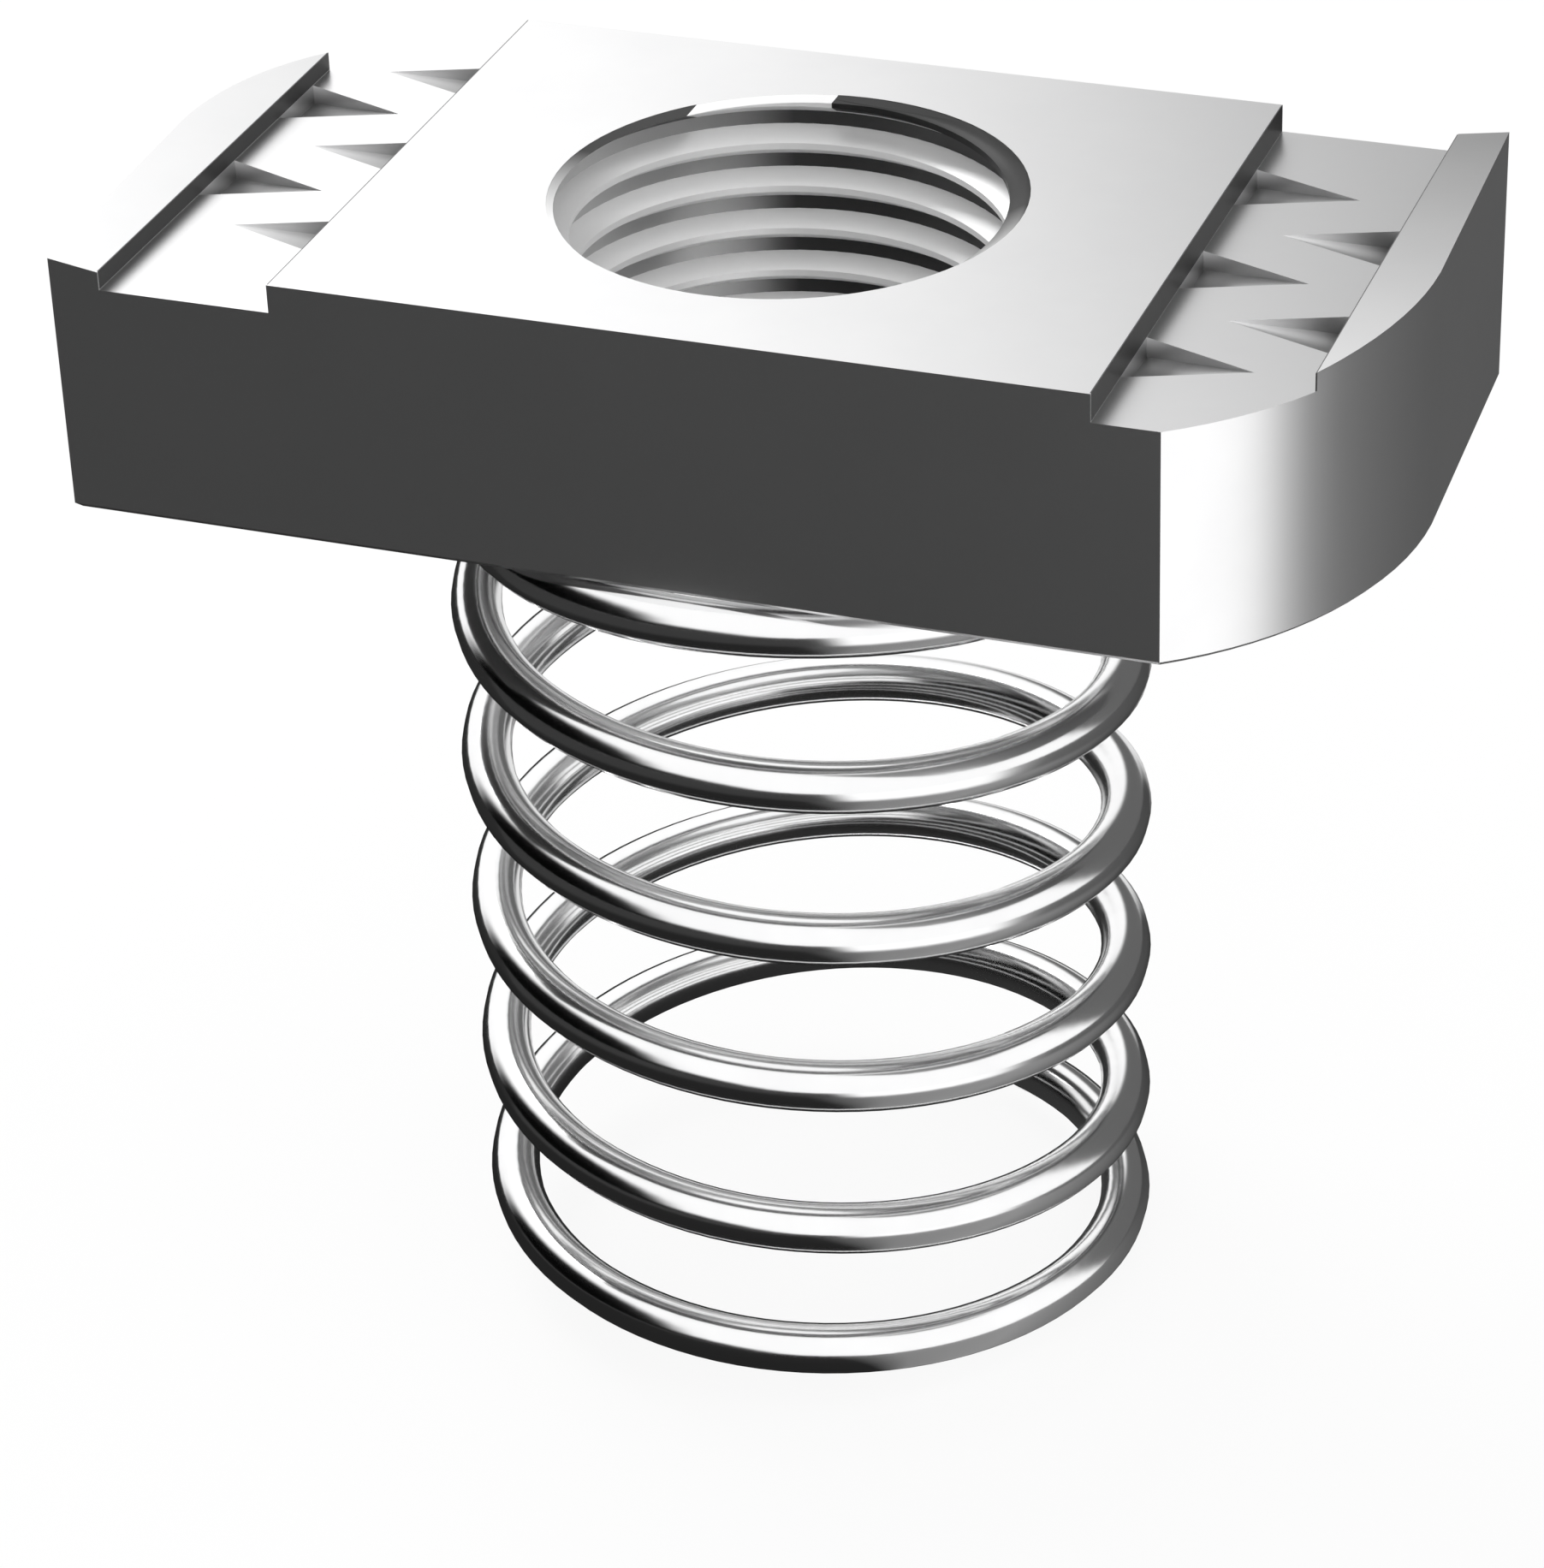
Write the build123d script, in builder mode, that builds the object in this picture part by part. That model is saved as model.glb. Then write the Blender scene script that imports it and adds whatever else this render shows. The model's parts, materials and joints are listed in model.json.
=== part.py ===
"""Strut channel nut with its bottom spring.

Millimetres. The origin is on the axis of the threaded hole, level with the top of the
centre land. +Z points up out of the hole, +X runs along the nut and -Y is its front face.
Seen from above, the right front and left back corners are the rounded ones.
"""

import os
from math import cos, pi, sin

from build123d import *

# Channel nut
nut_length = 34.9
nut_width = 17.8
nut_thickness = 7.35
corner_run = 4.72  # how far along the front face a rounded corner starts before the end
corner_draw = 0.3  # how far each end leans in at its sharp corner
land_length = 21.9  # the raised centre that stands in the slot of the channel
groove_depth = 0.78
lip_width = 1.7  # the end lips outside the grooves
lip_fall = 0.27  # how far a lip's top falls towards its groove
thread_radius = 6.35  # to the roots of a 1/2 in thread
edge_break = 0.15

# Serrations: notches run in from both walls of a groove by turns, and leave a zigzag tooth
notch_count = 5
notch_step = 2.6  # along the groove, from one notch to the next on the other wall
notch_width = 2.3
notch_reach = 3.1
notch_depth = 0.55
left_groove_shift = 0.9  # the left groove's notches stand this much further back

# Spring
coil_diameter = 19.15  # over the wire
wire_diameter = 1.4
seat_turns = 0.6  # closed turns that lie flat under the nut
open_turns = 4.7
foot_turns = 0.68  # the turns at the foot, wound closer so that the nut stands
open_pitch = 4.7
foot_pitch = 2.8
pitch_change_turns = 0.1  # over which the wire goes from one pitch to the next
foot_end_angle = 65.0  # where the wire ends at the foot, in degrees round from +X
points_per_turn = 16
seat_gap = 0.05

# Nibs raised under the nut, which hold the closed turn
nib_count = 4
nib_arc = 14.0
nib_width = 1.1
nib_height = 0.95
nib_gap = 0.05

half_length = nut_length / 2
half_width = nut_width / 2
land_x = land_length / 2
lip_x = half_length - lip_width
coil_radius = (coil_diameter - wire_diameter) / 2
coil_inner_radius = coil_radius - wire_diameter / 2
seat_level = -nut_thickness - seat_gap - wire_diameter / 2


def rounded_outline():
    """Plan of the nut: two sharp corners and two that are rounded over half an end."""
    with BuildLine() as outline:
        for side in (1, -1):
            end = (side * half_length, 0)
            rounded = (side * (half_length - corner_run), -side * half_width)
            sharp = (side * (half_length - corner_draw), side * half_width)
            Line((-sharp[0], -sharp[1]), rounded)
            TangentArc(end, rounded, tangent=(0, -side))
            Line(end, sharp)
    return outline.line


def notch(wall_x, towards, middle_y):
    """A pyramid that is deepest at a groove's wall and runs out at the groove's floor."""
    wall = Plane(
        origin=(wall_x, middle_y, -groove_depth), x_dir=(0, 1, 0), z_dir=(1, 0, 0)
    )
    with BuildSketch(wall) as mouth:
        Rectangle(notch_width, notch_depth, align=(Align.CENTER, Align.MAX))
    apex = Vertex(wall_x + towards * notch_reach, middle_y, -groove_depth)
    loft(sections=[mouth.sketch.face(), apex], mode=Mode.SUBTRACT)


with BuildPart() as channel_nut:
    # The front view, as long as the nut: land, groove floors and sloping lips
    with BuildSketch(Plane.XZ) as section:
        with BuildLine():
            Polyline(
                (0, 0),
                (land_x, 0),
                (land_x, -groove_depth),
                (lip_x, -groove_depth),
                (lip_x, -lip_fall),
                (half_length, 0),
                (half_length, -nut_thickness),
                (0, -nut_thickness),
                close=True,
            )
        make_face()
        mirror(about=Plane.YZ)
    extrude(amount=half_width, both=True)

    # The plan, which rounds two corners so that the nut turns inside the channel
    with BuildSketch() as plan:
        add(rounded_outline())
        make_face()
    extrude(amount=-nut_thickness, mode=Mode.INTERSECT)

    # Edges of the underside are broken
    chamfer(channel_nut.faces().sort_by(Axis.Z)[0].edges(), edge_break)

    # Serrated groove floors
    for side, shift in ((1, 0), (-1, left_groove_shift)):
        for index in range(notch_count):
            middle_y = (index - (notch_count - 1) / 2) * notch_step + shift
            on_land = index % 2 == 0
            wall_x = side * (land_x if on_land else lip_x)
            notch(wall_x, side if on_land else -side, middle_y)

    # Nibs inside the closed turn of the spring
    nib_outer = coil_inner_radius - nib_gap
    for index in range(nib_count):
        turned = (index + 0.5) * 2 * pi / nib_count
        radial = Plane(
            origin=(0, 0, 0),
            x_dir=(cos(turned), sin(turned), 0),
            z_dir=(sin(turned), -cos(turned), 0),
        )
        with BuildSketch(radial):
            with BuildLine():
                Polyline(
                    (nib_outer - nib_width, -nut_thickness),
                    (nib_outer, -nut_thickness),
                    (nib_outer, -nut_thickness - nib_height),
                    (nib_outer - nib_width / 2, -nut_thickness - nib_height),
                    close=True,
                )
            make_face()
        revolve(axis=Axis.Z, revolution_arc=nib_arc)

    # Hole for the thread
    with Locations((0, 0, 0)):
        Hole(thread_radius)

channel_nut.part.label = "channel_nut"


def fall(turns):
    """How far the wire has come down, this many turns after the seat's end."""
    at_foot = turns - open_turns
    down = open_pitch * max(0.0, turns)
    down -= (open_pitch - foot_pitch) * max(0.0, at_foot)
    return down


def wire_level(turns):
    """The wire's height, with its two changes of pitch spread over a short bend."""
    bend = pitch_change_turns / 2
    samples = 5
    steps = [bend * (2 * index / (samples - 1) - 1) for index in range(samples)]
    return seat_level - sum(fall(turns + step) for step in steps) / samples


def wire_point(turns):
    """A point on the wire's centre line; the turns run anticlockwise from above, and down."""
    turned = foot_end_angle * pi / 180 + 2 * pi * (turns - open_turns - foot_turns)
    return (coil_radius * cos(turned), coil_radius * sin(turned), wire_level(turns))


total_turns = seat_turns + open_turns + foot_turns
point_count = round(total_turns * points_per_turn)
centre_points = [
    wire_point(total_turns * index / point_count - seat_turns)
    for index in range(point_count + 1)
]

with BuildPart() as spring:
    with BuildLine():
        centre_line = Spline(centre_points)
    with BuildSketch(Plane(centre_line @ 0, z_dir=centre_line % 0)):
        Circle(wire_diameter / 2)
    sweep()

spring.part.label = "spring"

os.makedirs("parts", exist_ok=True)
export_step(channel_nut.part, "parts/channel_nut.step")
export_step(spring.part, "parts/spring.step")

straight_volume = pi * wire_diameter**2 / 4 * centre_line.length
print("wire length", round(centre_line.length, 1))
print("spring volume against straight wire", round(spring.part.volume / straight_volume, 4))
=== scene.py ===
import json
import math

import bpy
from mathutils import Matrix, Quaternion, Vector


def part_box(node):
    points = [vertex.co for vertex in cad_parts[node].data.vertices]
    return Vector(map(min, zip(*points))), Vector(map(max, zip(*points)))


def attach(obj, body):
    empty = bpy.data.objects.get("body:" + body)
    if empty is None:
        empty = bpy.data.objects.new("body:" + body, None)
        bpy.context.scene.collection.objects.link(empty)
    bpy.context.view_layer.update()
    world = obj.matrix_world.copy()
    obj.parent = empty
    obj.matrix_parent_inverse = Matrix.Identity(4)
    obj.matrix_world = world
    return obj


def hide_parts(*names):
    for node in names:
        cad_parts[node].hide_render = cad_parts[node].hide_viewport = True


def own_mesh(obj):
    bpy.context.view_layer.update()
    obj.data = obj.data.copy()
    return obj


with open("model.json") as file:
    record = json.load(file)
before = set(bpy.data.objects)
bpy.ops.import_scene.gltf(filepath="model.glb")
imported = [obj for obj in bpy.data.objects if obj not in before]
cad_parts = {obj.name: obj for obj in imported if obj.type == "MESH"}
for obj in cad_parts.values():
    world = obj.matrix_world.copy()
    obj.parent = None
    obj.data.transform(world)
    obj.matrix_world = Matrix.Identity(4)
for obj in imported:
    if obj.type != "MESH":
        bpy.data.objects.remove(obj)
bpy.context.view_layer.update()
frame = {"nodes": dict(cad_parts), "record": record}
springLow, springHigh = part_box("spring")
print("frame loaded")


# Camera

cameraSettings = {
    "target": (-0.00108, 0.0, -0.01828),
    "distance": 0.14843,
    "azimuth": 20.94,  # degrees round from the front, towards the right
    "elevation": 31.11,
    "roll": -2.18,
    "lens": 121.63,
    "sensorWidth": 36.0,
    "nearest": 0.005,  # what the camera sees lies between these
    "furthest": 20.0,
}


def placeCamera(settings):
    turn = math.radians(settings["azimuth"])
    rise = math.radians(settings["elevation"])
    back = Vector((
        math.sin(turn) * math.cos(rise),
        -math.cos(turn) * math.cos(rise),
        math.sin(rise),
    ))
    bpy.ops.object.camera_add(location=Vector(settings["target"]) + back * settings["distance"])
    camera = bpy.context.object
    camera.name = "productCamera"
    camera.rotation_mode = "QUATERNION"
    level = (-back).to_track_quat("-Z", "Y")
    camera.rotation_quaternion = level @ Quaternion((0, 0, 1), math.radians(settings["roll"]))
    camera.data.lens = settings["lens"]
    camera.data.sensor_width = settings["sensorWidth"]
    camera.data.clip_start = settings["nearest"]
    camera.data.clip_end = settings["furthest"]
    bpy.context.scene.camera = camera


placeCamera(cameraSettings)
print("camera placed")


# Selection, as by hand

def deselectAll():
    bpy.ops.object.select_all(action="DESELECT")


def pick(piece):
    deselectAll()
    piece.select_set(True)
    bpy.context.view_layer.objects.active = piece


def settle(piece):
    # the piece's place goes into its mesh
    pick(piece)
    bpy.ops.object.transform_apply(location=True, rotation=True, scale=True)


def selectWhere(piece, mode, test):
    # leaves edit mode open with the vertices or faces that pass the test
    bpy.ops.object.mode_set(mode="EDIT")
    bpy.ops.mesh.select_mode(type=mode)
    bpy.ops.mesh.select_all(action="DESELECT")
    bpy.ops.object.mode_set(mode="OBJECT")
    for part in piece.data.vertices if mode == "VERT" else piece.data.polygons:
        part.select = test(part)
    bpy.ops.object.mode_set(mode="EDIT")


# Thread in the nut's hole

mergeDistance = 0.000001  # points of a piece that are nearer than this become one
fullTurn = 360.0
holeSizes = next(
    mount["dims"] for mount in frame["record"]["mounts"] if mount["name"] == "threaded_hole"
)
threadSettings = {
    "rootRadius": holeSizes["r_mm"] / 1000,
    "length": holeSizes["length_mm"] / 1000,
    "crestRadius": 0.00580,
    "pitch": 0.00127,
    "crestWidth": 0.00018,
    "rootOverlap": 0.00004,  # how far the ridge's foot stands in the wall
    "rootGap": 0.00034,  # bare wall between two turns
    "stepsPerTurn": 96,
    "spareTurns": 2,  # wound past the nut's faces and cut off
    "startAngle": 115.0,  # where a crest runs out at the top face, degrees from +X
    "faceGap": 0.00001,  # how far inside the nut's faces the thread ends
    "cutThreshold": 0.0000001,
    "smoothAngle": 35.0,
}


def makeThread(settings):
    pitch = settings["pitch"]
    foot = settings["rootRadius"] + settings["rootOverlap"]
    crest = settings["crestRadius"]
    middle = (foot + crest) / 2
    footWidth = pitch - settings["rootGap"]
    turnsDown = math.ceil(settings["length"] / pitch) + settings["spareTurns"]
    topCrest = pitch - pitch * settings["startAngle"] / fullTurn
    bottomCrest = topCrest - turnsDown * pitch

    # the ridge's section stands in the XZ plane, and its inner edge is drawn in to the crest
    deselectAll()
    bpy.ops.mesh.primitive_plane_add(
        size=1, location=(middle, 0, bottomCrest), rotation=(math.pi / 2, 0, 0)
    )
    thread = bpy.context.object
    thread.name = "thread"
    thread.scale = (foot - crest, footWidth, 1)
    settle(thread)
    selectWhere(thread, "VERT", lambda vertex: vertex.co.x < middle)
    bpy.ops.transform.resize(
        value=(1, 1, settings["crestWidth"] / footWidth), center_override=(crest, 0, bottomCrest)
    )
    bpy.ops.mesh.select_all(action="SELECT")
    bpy.ops.mesh.delete(type="ONLY_FACE")
    bpy.ops.object.mode_set(mode="OBJECT")

    # wound up the hole, right-handed
    wind = thread.modifiers.new("wind", "SCREW")
    wind.axis = "Z"
    wind.angle = 2 * math.pi
    wind.screw_offset = pitch
    wind.iterations = turnsDown + 1
    wind.steps = settings["stepsPerTurn"]
    wind.render_steps = settings["stepsPerTurn"]
    wind.use_merge_vertices = True
    wind.merge_threshold = mergeDistance
    bpy.ops.object.modifier_apply(modifier="wind")

    # cut level with the nut's faces, and closed there
    topCut = -settings["faceGap"]
    bottomCut = settings["faceGap"] - settings["length"]
    bpy.ops.object.mode_set(mode="EDIT")
    for level, side in ((topCut, 1), (bottomCut, -1)):
        bpy.ops.mesh.select_all(action="SELECT")
        bpy.ops.mesh.bisect(
            plane_co=(0, 0, level), plane_no=(0, 0, side), use_fill=True, clear_outer=True,
            threshold=settings["cutThreshold"],
        )
    bpy.ops.mesh.select_all(action="SELECT")
    bpy.ops.mesh.normals_make_consistent(inside=False)
    bpy.ops.object.mode_set(mode="OBJECT")
    bpy.ops.object.shade_smooth_by_angle(angle=math.radians(settings["smoothAngle"]))
    return thread


thread = makeThread(threadSettings)
print("thread cut,", len(thread.data.polygons), "faces")


# Spring

springSettings = {
    "wireRadius": 0.0007,
    "seatTurns": 0.6,  # closed, under the nut
    "openTurns": 4.7,
    "footTurns": 0.68,  # wound closer, so that the nut stands
    "openPitch": 0.0047,
    "footPitch": 0.0028,
    "bendTurns": 0.1,  # over which the pitch changes
    "bendShares": (-1, -0.5, 0, 0.5, 1),
    "footEndAngle": 65.0,
    "stepsPerTurn": 96,
    "wireResolution": 5,
    "endBevel": 0.00008,
    "endBevelSteps": 2,
    "smoothAngle": 40.0,
}


def makeSpring(settings):
    wire = settings["wireRadius"]
    coilRadius = (springHigh.x - springLow.x) / 2 - wire
    seatLevel = springHigh.z - wire
    turnsDown = settings["openTurns"] + settings["footTurns"]
    totalTurns = settings["seatTurns"] + turnsDown
    steps = round(totalTurns * settings["stepsPerTurn"])

    def fall(turns):
        down = settings["openPitch"] * max(0.0, turns)
        slower = settings["openPitch"] - settings["footPitch"]
        return down - slower * max(0.0, turns - settings["openTurns"])

    def level(turns):
        bend = settings["bendTurns"] / 2
        spread = [fall(turns + bend * share) for share in settings["bendShares"]]
        return seatLevel - sum(spread) / len(spread)

    deselectAll()
    bpy.ops.curve.primitive_nurbs_path_add()
    spring = bpy.context.object
    spring.name = "springWire"
    line = spring.data
    line.splines.clear()
    coil = line.splines.new("POLY")
    coil.points.add(steps)
    for index, point in enumerate(coil.points):
        turns = totalTurns * index / steps - settings["seatTurns"]
        turned = math.radians(settings["footEndAngle"]) - 2 * math.pi * (turnsDown - turns)
        point.co = (
            coilRadius * math.cos(turned), coilRadius * math.sin(turned), level(turns), 1
        )
    line.dimensions = "3D"
    line.bevel_depth = wire
    line.bevel_resolution = settings["wireResolution"]
    line.use_fill_caps = True
    line.twist_mode = "Z_UP"
    pick(spring)
    bpy.ops.object.convert(target="MESH")
    settle(spring)

    # the cut ends, the only faces with more than four corners, lose their burr
    bpy.ops.object.mode_set(mode="EDIT")
    bpy.ops.mesh.select_all(action="SELECT")
    bpy.ops.mesh.remove_doubles(threshold=mergeDistance)
    bpy.ops.mesh.normals_make_consistent(inside=False)
    selectWhere(spring, "FACE", lambda face: len(face.vertices) > 4)
    bpy.ops.mesh.bevel(
        offset=settings["endBevel"], segments=settings["endBevelSteps"], affect="EDGES"
    )
    bpy.ops.object.mode_set(mode="OBJECT")
    bpy.ops.object.shade_smooth_by_angle(angle=math.radians(settings["smoothAngle"]))
    return spring


spring = makeSpring(springSettings)
print("spring wound,", len(spring.data.polygons), "faces")


# Nodes, shared by the materials and the studio

def addNode(tree, kind, **values):
    # a value is one of the node's own properties or one of its inputs
    node = tree.nodes.new(kind)
    for name, value in values.items():
        if hasattr(node, name):
            setattr(node, name, value)
        else:
            node.inputs[name].default_value = value
    return node


def addMath(tree, operation, *values):
    # a value is a number or another node's output
    node = addNode(tree, "ShaderNodeMath", operation=operation)
    for socket, value in zip(node.inputs, values):
        if isinstance(value, bpy.types.NodeSocket):
            tree.links.new(value, socket)
        else:
            socket.default_value = value
    return node.outputs[0]


def addFade(tree, value, low, high, start=0.0, end=1.0, interpolation="LINEAR"):
    # goes from start to end while the value goes from low to high
    fade = addNode(tree, "ShaderNodeMapRange", interpolation_type=interpolation)
    limits = {"From Min": low, "From Max": high, "To Min": start, "To Max": end}
    for name, limit in limits.items():
        fade.inputs[name].default_value = limit
    tree.links.new(value, fade.inputs["Value"])
    return fade.outputs["Result"]


def newGroup(name, inputs, outputs):
    group = bpy.data.node_groups.new(name, "ShaderNodeTree")
    for label, kind in inputs:
        group.interface.new_socket(label, in_out="INPUT", socket_type=kind)
    for label, kind in outputs:
        group.interface.new_socket(label, in_out="OUTPUT", socket_type=kind)
    entry = group.nodes.new("NodeGroupInput")
    leave = group.nodes.new("NodeGroupOutput")
    return group, entry, leave


# Plated steel

platingSettings = {"detail": 4.0, "coarseness": 0.55}


def buildPlatingGroup(settings):
    # soft clouds in the zinc plate
    group, entry, leave = newGroup(
        "zincPlate",
        [("Place", "NodeSocketVector"), ("Cloud Scale", "NodeSocketFloat")],
        [("Cloud", "NodeSocketFloat")],
    )
    cloud = addNode(
        group, "ShaderNodeTexNoise", Detail=settings["detail"], Roughness=settings["coarseness"]
    )
    group.links.new(entry.outputs["Place"], cloud.inputs["Vector"])
    group.links.new(entry.outputs["Cloud Scale"], cloud.inputs["Scale"])
    group.links.new(cloud.outputs["Fac"], leave.inputs["Cloud"])
    return group


# where the hollows of the nut and its thread lie, in metres, and where painted shade darkens them
# and the right end lip
paintedShadeSettings = {
    "landWall": 0.01092,  # the grooves lie between these distances from the middle
    "lipWall": 0.01578,
    "frontEdge": 0.00885,
    "stepFoot": -0.00077,
    "notchTop": -0.00079,  # the painted shade in a notch deepens between these heights
    "notchFoot": -0.00125,
    "notchLowest": -0.00140,
    "notchEdge": 0.0073,
    "cornerReach": 0.01815,  # length plus a share of the width, short of the rounded corners
    "cornerShare": 0.5,
    "boreRadius": 0.00640,
    "boreTop": -0.00002,
    "boreLeft": -0.0062,  # the bore wall's painted shade lightens between these, towards the left
    "boreMiddle": -0.0020,
    "boreLeast": 0.25,
    "rimFoot": -0.0004,  # the thread's first turn has painted shade above this, at the right and the left
    "rimRight": -0.0008,
    "rimLeft": -0.0043,
    "rimFront": -0.0035,  # and its painted shade deepens between these, towards the back
    "rimBack": 0.0010,
    "lipSlope": -0.1588,  # the lip's top lies above a level that follows its slope
    "lipLevel": -0.00279,
    "lipFront": -0.0110,  # the right end lip's painted shade deepens between these, towards the back
    "lipBack": 0.0085,
}


def buildPaintedShadeGroup(settings):
    # masks of painted shade for the steps beside the grooves, the notches, the bore's wall,
    #     # the thread's first turn and the right end lip
    group, entry, leave = newGroup(
        "paintedShadeMasks",
        [("Place", "NodeSocketVector")],
        [(label, "NodeSocketFloat") for label in ("Step", "Notch", "Bore", "Rim", "Lip")],
    )

    def above(value, limit):
        return addMath(group, "GREATER_THAN", value, limit)

    def below(value, limit):
        return addMath(group, "LESS_THAN", value, limit)

    def together(mask, *others):
        for other in others:
            mask = addMath(group, "MULTIPLY", mask, other)
        return mask

    split = addNode(group, "ShaderNodeSeparateXYZ")
    group.links.new(entry.outputs["Place"], split.inputs[0])
    sideways, forward, height = split.outputs
    fromMiddle = addMath(group, "ABSOLUTE", sideways)
    fromAxis = addMath(group, "ABSOLUTE", forward)
    level = addNode(group, "ShaderNodeVectorMath", operation="MULTIPLY")
    level.inputs[1].default_value = (1, 1, 0)
    radius = addNode(group, "ShaderNodeVectorMath", operation="LENGTH")
    group.links.new(entry.outputs["Place"], level.inputs[0])
    group.links.new(level.outputs["Vector"], radius.inputs[0])

    groove = together(
        above(fromMiddle, settings["landWall"]), below(fromMiddle, settings["lipWall"])
    )
    corner = addMath(group, "MULTIPLY_ADD", fromAxis, settings["cornerShare"], fromMiddle)
    slope = addMath(group, "MULTIPLY_ADD", sideways, settings["lipSlope"], height)
    masks = {
        "Step": together(
            groove,
            above(height, settings["stepFoot"]),
            below(fromAxis, settings["frontEdge"]),
        ),
        "Notch": together(
            groove,
            addFade(group, height, settings["notchTop"], settings["notchFoot"]),
            above(height, settings["notchLowest"]),
            below(fromAxis, settings["notchEdge"]),
            below(corner, settings["cornerReach"]),
        ),
        "Bore": together(
            below(radius.outputs["Value"], settings["boreRadius"]),
            below(height, settings["boreTop"]),
            addFade(
                group, sideways, settings["boreLeft"], settings["boreMiddle"],
                start=settings["boreLeast"],
            ),
        ),
        "Rim": together(
            above(height, settings["rimFoot"]),
            addFade(group, forward, settings["rimFront"], settings["rimBack"]),
            addMath(
                group, "MAXIMUM",
                above(sideways, settings["rimRight"]), below(sideways, settings["rimLeft"]),
            ),
        ),
        "Lip": together(
            above(sideways, settings["lipWall"]),
            above(slope, settings["lipLevel"]),
            addFade(group, forward, settings["lipFront"], settings["lipBack"]),
        ),
    }
    for label, mask in masks.items():
        group.links.new(mask, leave.inputs[label])
    return group


zincPlate = buildPlatingGroup(platingSettings)
# painted shade: darker tone in the nut's hollows, on the thread's first turn and on the right end
# lip
paintedShadeMasks = buildPaintedShadeGroup(paintedShadeSettings)

nutSteelSettings = {
    "bright": (0.95, 0.95, 0.95, 1),
    "dull": (0.86, 0.86, 0.865, 1),
    "metallic": 1.0,
    "specular": 0.5,
    "roughLow": 0.285,
    "roughHigh": 0.33,
    "cloudScale": 260.0,
    # how much of the tone is left under each painted shade
    "paintedShades": {"Step": 0.18, "Notch": 0.48, "Bore": 0.10, "Lip": 0.40},
}
# the thread's steel carries painted shade on its first turn
threadSteelSettings = dict(
    nutSteelSettings, dull=(0.93, 0.93, 0.93, 1), metallic=0.45, specular=0.1,
    roughLow=0.30, roughHigh=0.38, paintedShades={"Rim": 0.03},
)
wireSteelSettings = dict(
    nutSteelSettings, bright=(0.96, 0.96, 0.96, 1), roughLow=0.13, roughHigh=0.18,
    cloudScale=500.0, paintedShades={},
)


def makeSteel(name, settings):
    material = bpy.data.materials.new(name)
    material.use_nodes = True
    tree = material.node_tree
    link = tree.links.new
    shader = tree.nodes["Principled BSDF"]
    shader.inputs["Metallic"].default_value = settings["metallic"]
    shader.inputs["Specular IOR Level"].default_value = settings["specular"]
    place = addNode(tree, "ShaderNodeTexCoord")
    plate = addNode(tree, "ShaderNodeGroup", node_tree=zincPlate)
    plate.inputs["Cloud Scale"].default_value = settings["cloudScale"]
    link(place.outputs["Object"], plate.inputs["Place"])
    cloud = plate.outputs["Cloud"]
    tone = addNode(tree, "ShaderNodeMix", data_type="RGBA")
    tone.inputs["A"].default_value = settings["dull"]
    tone.inputs["B"].default_value = settings["bright"]
    link(cloud, tone.inputs["Factor"])
    colour = tone.outputs["Result"]
    # painted shade: each mask darkens the base colour in its place
    if settings["paintedShades"]:
        shadeMasks = addNode(tree, "ShaderNodeGroup", node_tree=paintedShadeMasks)
        link(place.outputs["Object"], shadeMasks.inputs["Place"])
    for mask, share in settings["paintedShades"].items():
        shade = addNode(tree, "ShaderNodeMix", data_type="RGBA", blend_type="MULTIPLY")
        shade.inputs["B"].default_value = (share, share, share, 1)
        link(shadeMasks.outputs[mask], shade.inputs["Factor"])
        link(colour, shade.inputs["A"])
        colour = shade.outputs["Result"]
    rough = addFade(tree, cloud, 0.0, 1.0, start=settings["roughHigh"], end=settings["roughLow"])
    link(colour, shader.inputs["Base Color"])
    link(rough, shader.inputs["Roughness"])
    return material


def dress(piece, material):
    piece.data.materials.clear()
    piece.data.materials.append(material)


nutSteel = makeSteel("platedNutSteel", nutSteelSettings)
threadSteel = makeSteel("platedThreadSteel", threadSteelSettings)
wireSteel = makeSteel("springWireSteel", wireSteelSettings)
dress(frame["nodes"]["channel_nut"], nutSteel)
dress(frame["nodes"]["spring"], wireSteel)
dress(thread, threadSteel)
dress(spring, wireSteel)

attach(thread, "nut")
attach(spring, "spring")
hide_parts("spring")
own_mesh(spring)
print("pieces dressed")


# Studio

plainWhite = (1, 1, 1, 1)
studioSettings = {
    "floorSize": 6.0,
    "floorColour": (0.94, 0.94, 0.94, 1),
    "whiteShare": 0.90,  # of the floor that glows for the camera, so that a shadow stays
    "sky": 1.08,
    # unlit parts of the room: where, how wide outside and inside the soft edge, what is left
    "darkParts": [
        ((0.34, 0.93, 0.17), 42, 33, 0.12),
        ((-0.90, -0.42, 0.10), 47, 32, 0.0),
        ((-0.30, -0.85, -0.45), 43, 32, 0.02),
    ],
    "keyPlace": (-0.11, 0.07, 0.13),
    "keySize": 0.09,
    "keyPower": 0.12,
}


def newTree(material):
    # an empty tree in a material or the world
    material.use_nodes = True
    material.node_tree.nodes.clear()
    return material.node_tree


def seenRays(tree):
    # camera, glossy and transmission rays together
    path = addNode(tree, "ShaderNodeLightPath")
    first = addMath(
        tree, "MAXIMUM", path.outputs["Is Camera Ray"], path.outputs["Is Glossy Ray"]
    )
    return addMath(tree, "MAXIMUM", first, path.outputs["Is Transmission Ray"])


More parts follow.
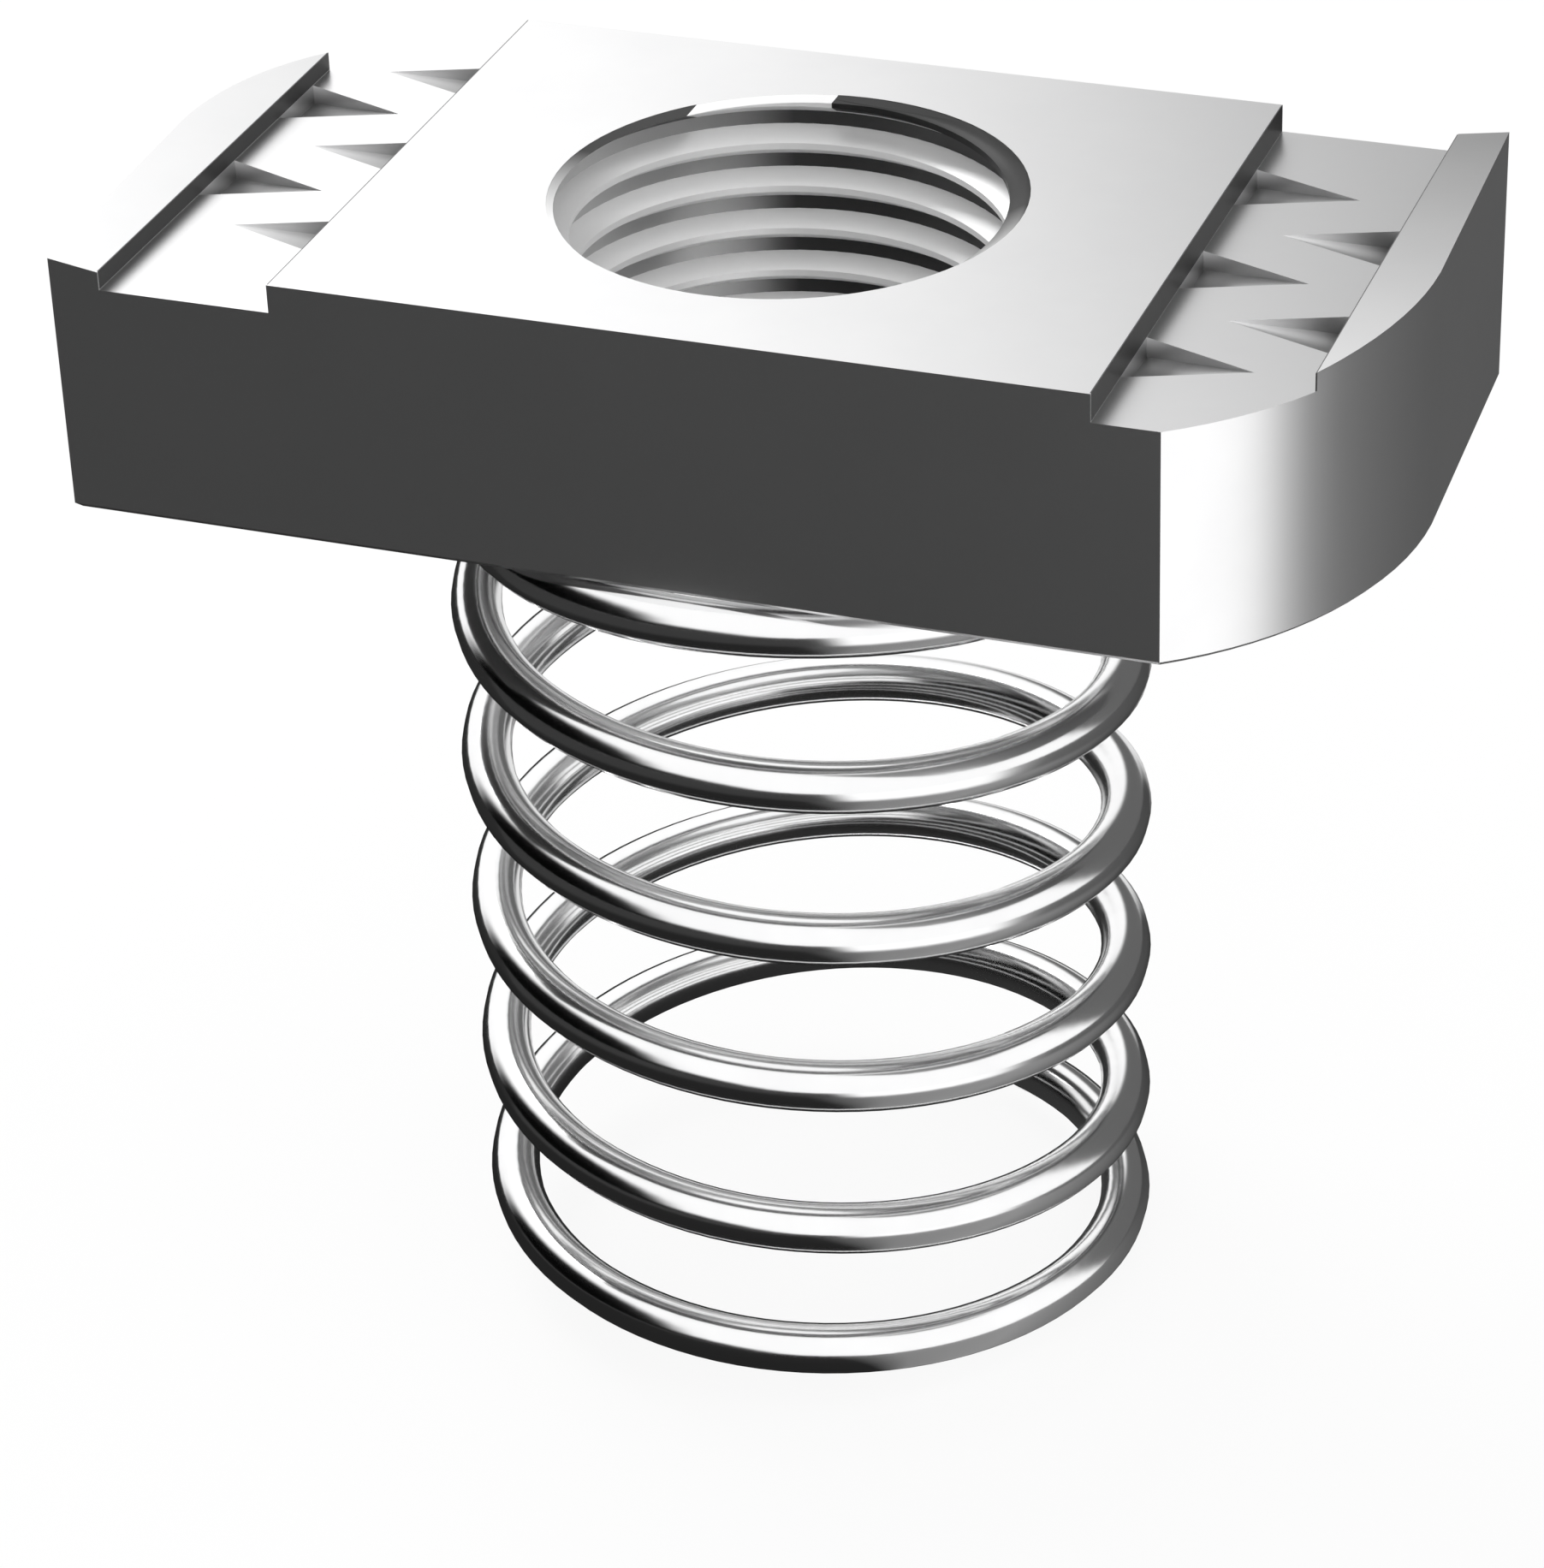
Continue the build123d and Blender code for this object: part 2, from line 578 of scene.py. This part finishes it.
def makeFloor(settings):
    deselectAll()
    bpy.ops.mesh.primitive_plane_add(size=settings["floorSize"], location=(0, 0, springLow.z))
    floor = bpy.context.object
    floor.name = "studioFloor"
    settle(floor)
    material = bpy.data.materials.new("paleFloor")
    tree = newTree(material)
    paper = addNode(tree, "ShaderNodeBsdfDiffuse", Color=settings["floorColour"])
    glow = addNode(tree, "ShaderNodeEmission", Strength=1.0)
    blend = addNode(tree, "ShaderNodeMixShader")
    out = addNode(tree, "ShaderNodeOutputMaterial")
    share = addMath(tree, "MULTIPLY", seenRays(tree), settings["whiteShare"])
    tree.links.new(share, blend.inputs[0])
    tree.links.new(paper.outputs[0], blend.inputs[1])
    tree.links.new(glow.outputs[0], blend.inputs[2])
    tree.links.new(blend.outputs[0], out.inputs["Surface"])
    dress(floor, material)


def makeWorld(settings):
    world = bpy.data.worlds.new("studioWorld")
    bpy.context.scene.world = world
    tree = newTree(world)
    path = addNode(tree, "ShaderNodeLightPath")
    place = addNode(tree, "ShaderNodeTexCoord")
    level = settings["sky"]
    for towards, outside, inside, left in settings["darkParts"]:
        facing = addNode(tree, "ShaderNodeVectorMath", operation="DOT_PRODUCT")
        facing.inputs[1].default_value = Vector(towards).normalized()
        tree.links.new(place.outputs["Generated"], facing.inputs[0])
        fade = addFade(
            tree, facing.outputs["Value"],
            math.cos(math.radians(outside)), math.cos(math.radians(inside)),
            start=1.0, end=left, interpolation="SMOOTHSTEP",
        )
        level = addMath(tree, "MULTIPLY", fade, level)
    sky = addNode(tree, "ShaderNodeBackground", Color=plainWhite)
    white = addNode(tree, "ShaderNodeBackground", Color=plainWhite, Strength=1.0)
    blend = addNode(tree, "ShaderNodeMixShader")
    out = addNode(tree, "ShaderNodeOutputWorld")
    tree.links.new(level, sky.inputs["Strength"])
    tree.links.new(path.outputs["Is Camera Ray"], blend.inputs[0])
    tree.links.new(sky.outputs[0], blend.inputs[1])
    tree.links.new(white.outputs[0], blend.inputs[2])
    tree.links.new(blend.outputs[0], out.inputs["Surface"])


reflectionSheetSettings = {
    "middle": (0.004, -0.006),
    "radius": 2.9,
    "segments": 72,
    "lift": 0.0003,
    "nearRadius": 0.042,  # the near tones turn into the far tones between these
    "farRadius": 0.052,
    "glow": 1.18,
    # painted reflections round the middle, in degrees from +X: black in front, white beside the
    # rounded corner
    "farTones": [
        (-180, 0.036), (-64, 0.036), (-56, 1.0), (-14, 1.0), (-8, 0.90), (-3, 0.50),
        (2, 0.25), (12, 0.11), (42, 0.08), (80, 0.05), (88, 0.70), (112, 0.70), (121, 0.02),
    ],
    "nearTones": [
        (-180, 0.015), (-75, 0.015), (-50, 0.20), (0, 0.25), (60, 0.06), (86, 0.03), (140, 0.015),
    ],
}


def toneRound(tree, turned, tones):
    ramp = addNode(tree, "ShaderNodeValToRGB")
    stops = ramp.color_ramp.elements
    stops.remove(stops[1])
    for index, (angle, tone) in enumerate(tones):
        position = angle / fullTurn + 0.5
        stop = stops.new(position) if index else stops[0]
        stop.position = position
        stop.color = (tone, tone, tone, 1)
    tree.links.new(turned, ramp.inputs["Fac"])
    return ramp.outputs["Color"]


def makeReflectionSheet(settings):
    # a glowing graduated sheet round the foot, seen only in the metal, that paints its dark and
    # white reflections
    middleX, middleY = settings["middle"]
    deselectAll()
    bpy.ops.mesh.primitive_circle_add(
        vertices=settings["segments"], radius=settings["radius"], fill_type="TRIFAN",
        location=(middleX, middleY, springLow.z + settings["lift"]),
    )
    sheet = bpy.context.object
    sheet.name = "reflectionSheet"
    settle(sheet)
    material = bpy.data.materials.new("paintedReflectionGlow")
    tree = newTree(material)
    link = tree.links.new
    place = addNode(tree, "ShaderNodeTexCoord")
    centre = addNode(tree, "ShaderNodeMapping", Location=(-middleX, -middleY, 0))
    turned = addNode(tree, "ShaderNodeTexGradient", gradient_type="RADIAL")
    away = addNode(tree, "ShaderNodeVectorMath", operation="LENGTH")
    tone = addNode(tree, "ShaderNodeMix", data_type="RGBA")
    glow = addNode(tree, "ShaderNodeEmission", Strength=settings["glow"])
    out = addNode(tree, "ShaderNodeOutputMaterial")
    link(place.outputs["Object"], centre.inputs["Vector"])
    link(centre.outputs["Vector"], turned.inputs["Vector"])
    link(centre.outputs["Vector"], away.inputs[0])
    far = addFade(tree, away.outputs["Value"], settings["nearRadius"], settings["farRadius"])
    link(far, tone.inputs["Factor"])
    link(toneRound(tree, turned.outputs["Fac"], settings["nearTones"]), tone.inputs["A"])
    link(toneRound(tree, turned.outputs["Fac"], settings["farTones"]), tone.inputs["B"])
    link(tone.outputs["Result"], glow.inputs["Color"])
    link(glow.outputs[0], out.inputs["Surface"])
    dress(sheet, material)
    sheet.visible_camera = False
    sheet.visible_diffuse = False
    sheet.visible_shadow = False
    sheet.visible_transmission = False


def makeKey(settings):
    deselectAll()
    bpy.ops.object.light_add(type="AREA", location=settings["keyPlace"])
    key = bpy.context.object
    key.name = "keyLight"
    key.data.size = settings["keySize"]
    key.data.energy = settings["keyPower"]
    aim = Vector(cameraSettings["target"]) - Vector(settings["keyPlace"])
    key.rotation_mode = "QUATERNION"
    key.rotation_quaternion = aim.to_track_quat("-Z", "Y")


makeFloor(studioSettings)
makeWorld(studioSettings)
makeReflectionSheet(reflectionSheetSettings)
makeKey(studioSettings)
bpy.context.scene.view_settings.view_transform = "Standard"
print("studio lit")


print("scene built")
